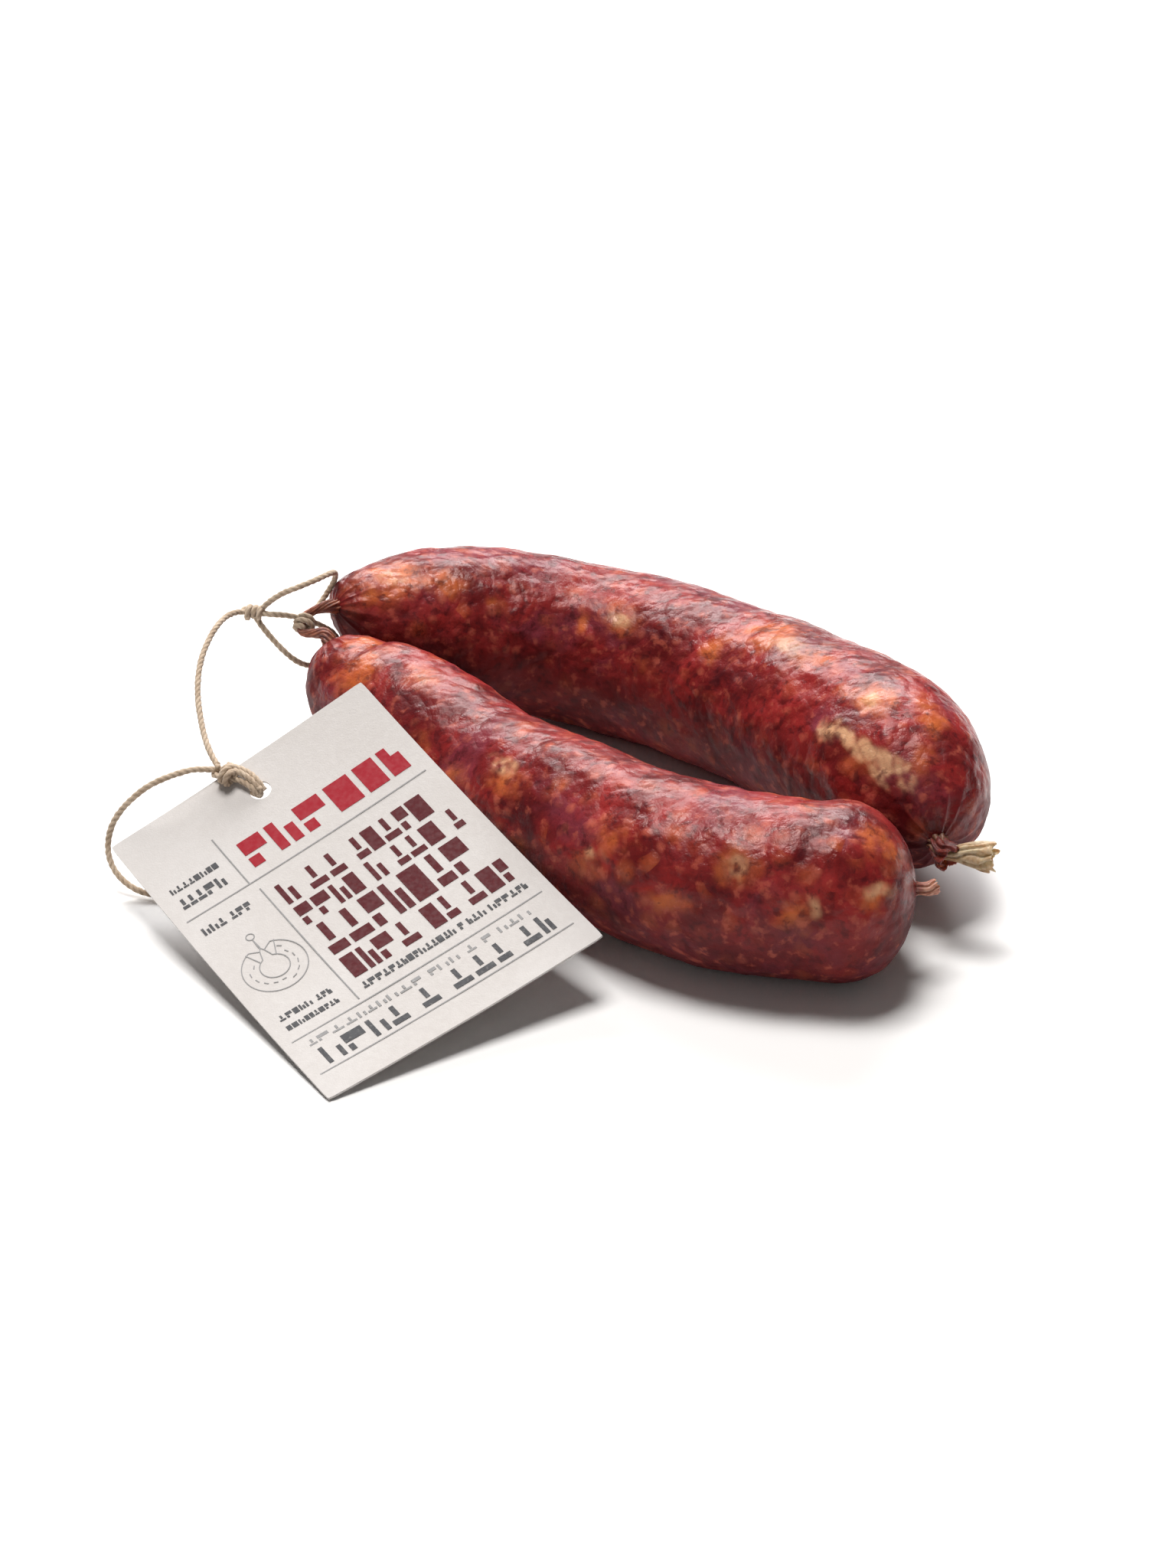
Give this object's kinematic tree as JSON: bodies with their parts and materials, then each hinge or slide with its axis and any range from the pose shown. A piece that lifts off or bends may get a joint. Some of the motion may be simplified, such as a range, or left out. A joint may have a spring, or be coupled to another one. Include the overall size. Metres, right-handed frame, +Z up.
{
  "type": "pair of cured sausages",
  "caption": "Cured sausage links tied together at one end with natural twine that also carries a card hang tag, lying on a flat surface.",
  "frame": {"origin": "on the resting surface, under the middle of the object's box measured without the twine", "axes": "+X from the tied end towards the free ends, +Y away from the card tag, +Z up"},
  "size_m": [0.1937, 0.1778, 0.0475],
  "materials": {
    "cured_meat": "wrinkled natural casing over coarse red meat and fat, semi-gloss",
    "dry_casing": "dry twisted casing, matt",
    "natural_twine": "undyed two-ply twine, matt",
    "tag_card": null
  },
  "bodies": {
    "root": {"link_front": "cured_meat", "link_back": "cured_meat", "casing_neck": "dry_casing", "casing_end_back": "dry_casing", "casing_end_front": "dry_casing", "twine_neck_tie": "natural_twine", "twine_upper_strand": "natural_twine", "twine_middle_strand": "natural_twine", "twine_lower_strand": "natural_twine", "twine_knot": "natural_twine", "twine_tag_strand": "natural_twine", "tag_hitch": "natural_twine", "tag_hitch_loop": "natural_twine", "twine_tail": "natural_twine", "hang_tag": "tag_card"}
  },
  "joints": []
}
